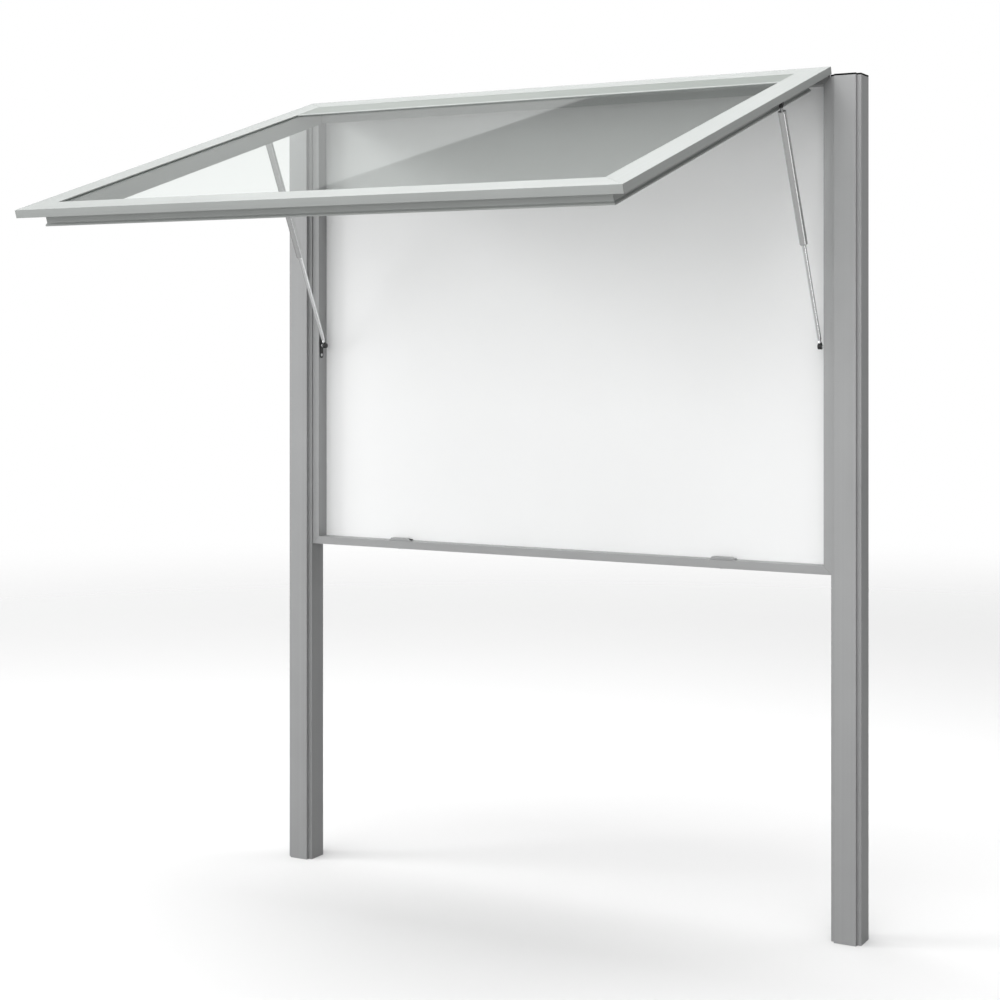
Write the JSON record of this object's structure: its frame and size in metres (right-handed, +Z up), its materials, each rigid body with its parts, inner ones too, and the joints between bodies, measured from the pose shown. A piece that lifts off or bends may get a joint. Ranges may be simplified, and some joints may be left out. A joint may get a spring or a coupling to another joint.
{
  "type": "lockable notice board",
  "caption": "Free-standing notice board: a shallow aluminium case between two posts, with a top-hung glazed wing on gas struts and push locks in the bottom rail.",
  "frame": {"origin": "on the ground, midway between the two posts and on their centre line", "axes": "+Z up, +X to the reader's right, -Y towards the reader"},
  "size_m": [1.543, 1.1308, 1.9498],
  "materials": {
    "anodised": "satin silver anodised",
    "wing_anodised": "satin silver anodised, a little lighter",
    "black_plastic": "black moulded plastic",
    "black_steel": "black coated steel",
    "bright_steel": "bright plated steel",
    "tube_grey": "grey coated steel tube",
    "board_white": "smooth white board",
    "header": "pale grey-green satin strip",
    "header_edge": "white satin strip",
    "glass": "clear float glass with a slight green tint",
    "rubber": "black sealing rubber"
  },
  "bodies": {
    "root": {"left_post": "anodised", "right_post": "anodised", "left_post_cap": "black_plastic", "right_post_cap": "black_plastic", "case_top_rail": "anodised", "case_bottom_rail": "anodised", "case_left_stile": "anodised", "case_right_stile": "anodised", "case_cleat_lower_left": "bright_steel", "case_cleat_lower_right": "bright_steel", "case_cleat_upper_left": "bright_steel", "case_cleat_upper_right": "bright_steel", "pin_board": "board_white", "rear_sheet": "anodised", "case_bolt_left_1": "bright_steel", "case_bolt_left_2": "bright_steel", "case_bolt_right_1": "bright_steel", "case_bolt_right_2": "bright_steel", "lock_left_cover": "anodised", "lock_left_barrel": "bright_steel", "lock_right_cover": "anodised", "lock_right_barrel": "bright_steel", "strut_left_lower_bracket": "black_steel", "strut_right_lower_bracket": "black_steel"},
    "wing": {"wing_top_rail": "wing_anodised", "wing_bottom_rail": "wing_anodised", "wing_left_stile": "wing_anodised", "wing_right_stile": "wing_anodised", "wing_cleat_lower_left": "bright_steel", "wing_cleat_lower_right": "bright_steel", "wing_cleat_upper_left": "bright_steel", "wing_cleat_upper_right": "bright_steel", "glass_pane": "glass", "header_panel": "header", "header_edge": "header_edge", "seal_left": "rubber", "seal_right": "rubber", "seal_top": "rubber", "seal_bottom": "rubber", "strut_left_upper_bracket": "black_steel", "strut_left_upper_stud": "bright_steel", "strut_right_upper_bracket": "black_steel", "strut_right_upper_stud": "bright_steel"},
    "strut_left_cylinder": {"strut_left_tube": "tube_grey", "strut_left_guide": "black_plastic", "strut_left_upper_socket": "black_plastic"},
    "strut_left_piston": {"strut_left_rod": "bright_steel", "strut_left_lower_socket": "black_plastic", "strut_left_lower_stud": "bright_steel"},
    "strut_right_cylinder": {"strut_right_tube": "tube_grey", "strut_right_guide": "black_plastic", "strut_right_upper_socket": "black_plastic"},
    "strut_right_piston": {"strut_right_rod": "bright_steel", "strut_right_lower_socket": "black_plastic", "strut_right_lower_stud": "bright_steel"},
    "lock_left_push_bolt": {"lock_left_bolt": "bright_steel"},
    "lock_left_plug": {"lock_left_key_plug": "bright_steel"},
    "lock_right_push_bolt": {"lock_right_bolt": "bright_steel"},
    "lock_right_plug": {"lock_right_key_plug": "bright_steel"}
  },
  "joints": [
    {"name": "wing_hinge", "type": "hinge", "parent": "root", "child": "wing", "pos_m": [0, -0.0223, 1.928], "axis": [1, 0, 0], "range_deg": [0, 72.4]},
    {"name": "strut_left_swing", "type": "hinge", "parent": "wing", "child": "strut_left_cylinder", "pos_m": [-0.6715, -0.26029, 1.84317], "axis": [1, 0, 0], "range_deg": [-97.8, 0]},
    {"name": "strut_left_slide", "type": "slide", "parent": "strut_left_cylinder", "child": "strut_left_piston", "axis": [0, -0.4342, 0.9008], "range_m": [0, 0.225]},
    {"name": "strut_right_swing", "type": "hinge", "parent": "wing", "child": "strut_right_cylinder", "pos_m": [0.6715, -0.26029, 1.84317], "axis": [1, 0, 0], "range_deg": [-97.8, 0]},
    {"name": "strut_right_slide", "type": "slide", "parent": "strut_right_cylinder", "child": "strut_right_piston", "axis": [0, -0.4342, 0.9008], "range_m": [0, 0.225]},
    {"name": "lock_left_push", "type": "slide", "parent": "root", "child": "lock_left_push_bolt", "axis": [0, 0, 1], "range_m": [0, 0.0087]},
    {"name": "lock_left_turn", "type": "hinge", "parent": "lock_left_push_bolt", "child": "lock_left_plug", "pos_m": [-0.4375, -0.0092, 0.8137], "axis": [0, 0, 1], "range_deg": [0, 90]},
    {"name": "lock_right_push", "type": "slide", "parent": "root", "child": "lock_right_push_bolt", "axis": [0, 0, 1], "range_m": [0, 0.0087]},
    {"name": "lock_right_turn", "type": "hinge", "parent": "lock_right_push_bolt", "child": "lock_right_plug", "pos_m": [0.4375, -0.0092, 0.8137], "axis": [0, 0, 1], "range_deg": [0, 90]}
  ],
  "couplings": [
    {"joint": "strut_left_swing", "follows": "wing_hinge", "ratio": -1.3489},
    {"joint": "strut_left_slide", "follows": "wing_hinge", "m_per_rad": 0.17784},
    {"joint": "strut_right_swing", "follows": "wing_hinge", "ratio": -1.3489},
    {"joint": "strut_right_slide", "follows": "wing_hinge", "m_per_rad": 0.17784}
  ]
}
